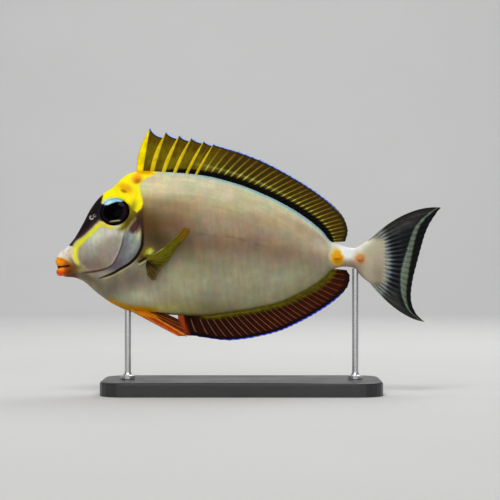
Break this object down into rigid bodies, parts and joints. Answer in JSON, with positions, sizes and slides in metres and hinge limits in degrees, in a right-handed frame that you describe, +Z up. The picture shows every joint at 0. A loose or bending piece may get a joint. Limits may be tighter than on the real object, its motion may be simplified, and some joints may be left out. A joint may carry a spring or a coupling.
{
  "type": "elegant unicornfish model",
  "caption": "Still, life-size elegant unicornfish: deep flat body, long dorsal and anal fins, lunate tail and bony tail blades, held by rods on a flat base.",
  "frame": {"origin": "centre of the bounding box on the plane that the stand's base rests on", "axes": "+Z up; the fish faces -X, with its left side towards -Y and its middle plane at Y = 0"},
  "size_m": [0.2216, 0.064, 0.1525],
  "materials": {
    "head_skin": "satin skin, grey with a brown mask, a yellow line and a yellow nape",
    "body_skin": "satin skin, warm grey-beige, finely mottled",
    "tail_skin": "satin skin, pale with orange patches round the blades",
    "lips": "satin orange",
    "eyes": "wet gloss black",
    "tail_blades": "satin orange bone",
    "dorsal_fin": "satin olive with yellow rays and a black foot",
    "anal_fin": "satin rust brown with a blue edge",
    "caudal_fin": "satin smoke grey with pale rays",
    "pectoral_fins": "satin olive yellow",
    "pelvic_fins": "satin orange red",
    "stand_base": "matte black",
    "stand_rods": "fine turned steel"
  },
  "bodies": {
    "root": {"head": "head_skin", "gill_cover_left": "head_skin", "gill_cover_right": "head_skin", "lip_upper": "lips", "lip_lower": "lips", "eye_left": "eyes", "eye_right": "eyes", "trunk": "body_skin", "tail_stalk": "tail_skin", "tail_blade_front_left": "tail_blades", "tail_blade_front_right": "tail_blades", "tail_blade_rear_left": "tail_blades", "tail_blade_rear_right": "tail_blades", "dorsal_fin": "dorsal_fin", "anal_fin": "anal_fin", "caudal_fin": "caudal_fin", "pectoral_fin_left": "pectoral_fins", "pectoral_fin_right": "pectoral_fins", "pelvic_fin_left": "pelvic_fins", "pelvic_fin_right": "pelvic_fins", "stand_base": "stand_base", "stand_rod_front": "stand_rods", "stand_rod_rear": "stand_rods"}
  },
  "joints": []
}
